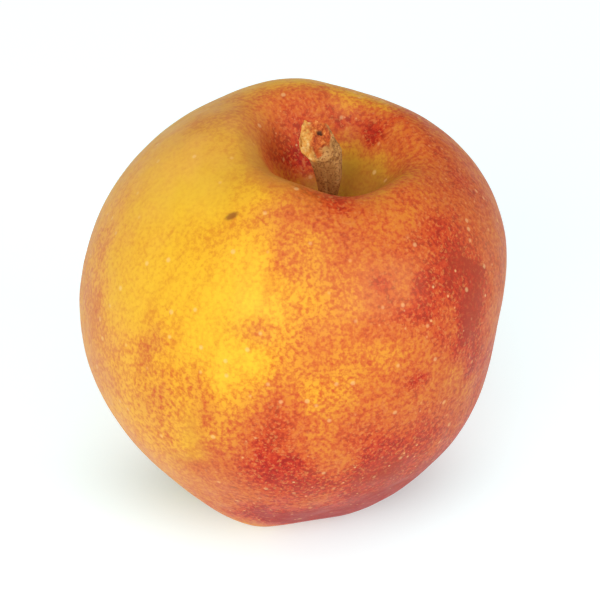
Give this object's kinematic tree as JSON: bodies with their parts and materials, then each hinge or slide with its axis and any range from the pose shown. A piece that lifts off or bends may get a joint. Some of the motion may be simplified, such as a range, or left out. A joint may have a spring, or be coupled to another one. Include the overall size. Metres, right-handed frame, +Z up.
{
  "type": "apple",
  "caption": "Whole ripe apple, yellow with a mottled red blush, standing on its calyx end with a short thick stem in its cavity.",
  "frame": {"origin": "on the surface the apple rests on, under the middle of its box", "axes": "+Z up through the stem end; +X towards the side where the crown stands lower; -Y the yellow and red front"},
  "size_m": [0.074, 0.074, 0.0745],
  "materials": {
    "waxy_skin": "satin natural wax over golden-yellow skin with a mottled orange-red blush and cream lenticels",
    "stem_bark": "dry brown bark, broken pale and russet at the top",
    "dry_sepal": "withered grey-brown, finely hairy",
    "dry_stamen": "dry dark brown filaments"
  },
  "bodies": {
    "root": {"fruit": "waxy_skin", "stem": "stem_bark", "sepal_1": "dry_sepal", "sepal_2": "dry_sepal", "sepal_3": "dry_sepal", "sepal_4": "dry_sepal", "sepal_5": "dry_sepal", "dried_stamens": "dry_stamen"}
  },
  "joints": []
}
